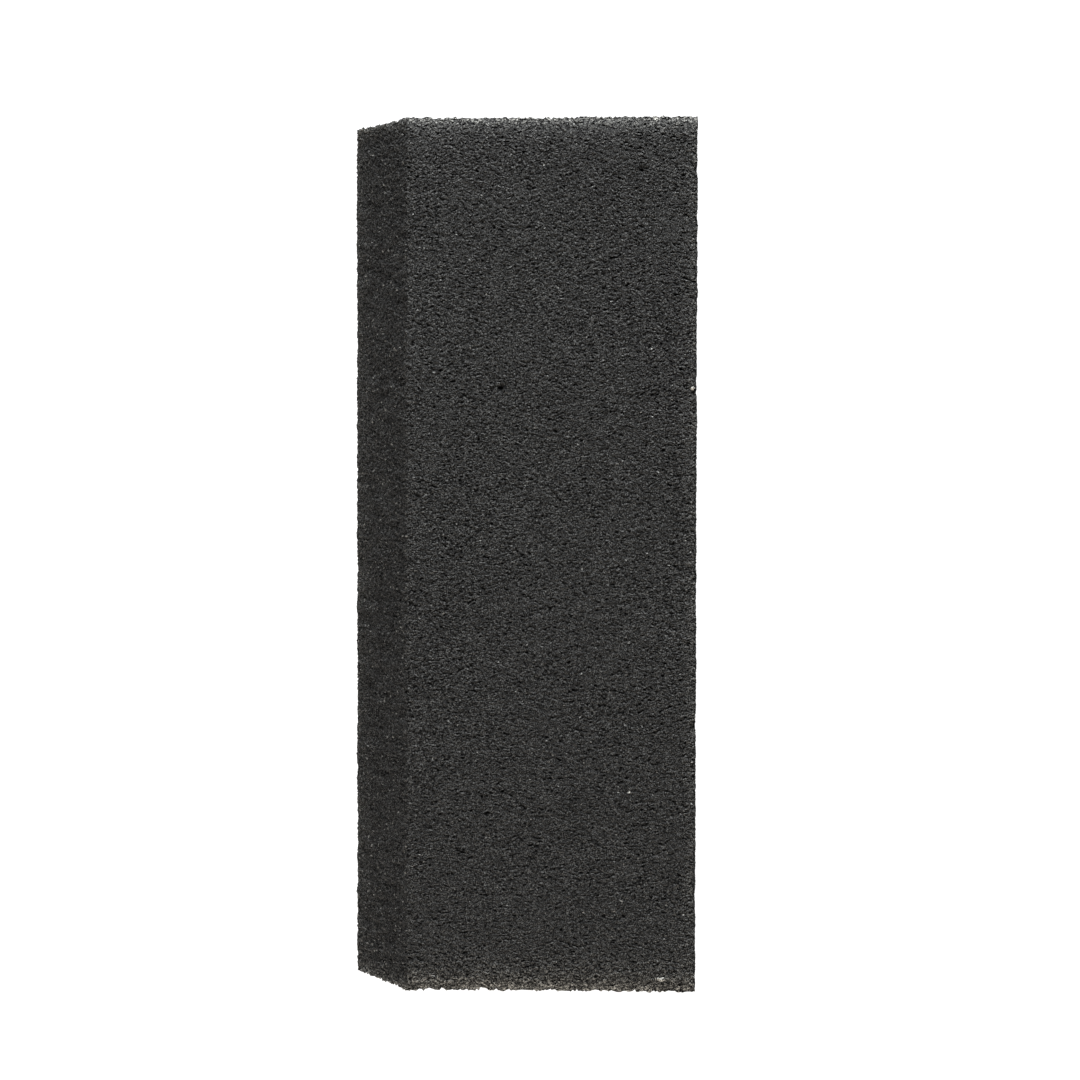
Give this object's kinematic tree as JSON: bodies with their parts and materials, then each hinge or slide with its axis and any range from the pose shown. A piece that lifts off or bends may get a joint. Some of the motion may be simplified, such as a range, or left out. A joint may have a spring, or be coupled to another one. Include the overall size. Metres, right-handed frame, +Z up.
{
  "type": "sanding block",
  "caption": "Flexible foam sanding block with abrasive grit on both broad faces and both long edges, one of them cut at an angle.",
  "frame": {"origin": "on the resting face, under the middle of the block's box", "axes": "+X across the block away from the angled edge, +Y along its length, +Z up through its thickness towards the narrow face"},
  "size_m": [0.0812, 0.2032, 0.0254],
  "materials": {
    "foam": "matte",
    "bond_resin": "satin",
    "grit": "matte"
  },
  "bodies": {
    "root": {"foam_core": "foam", "square_edge_bond_coat": "bond_resin", "square_edge_grit_coat": "grit", "narrow_face_bond_coat": "bond_resin", "narrow_face_grit_coat": "grit", "angled_edge_bond_coat": "bond_resin", "angled_edge_grit_coat": "grit", "wide_face_bond_coat": "bond_resin", "wide_face_grit_coat": "grit"}
  },
  "joints": []
}
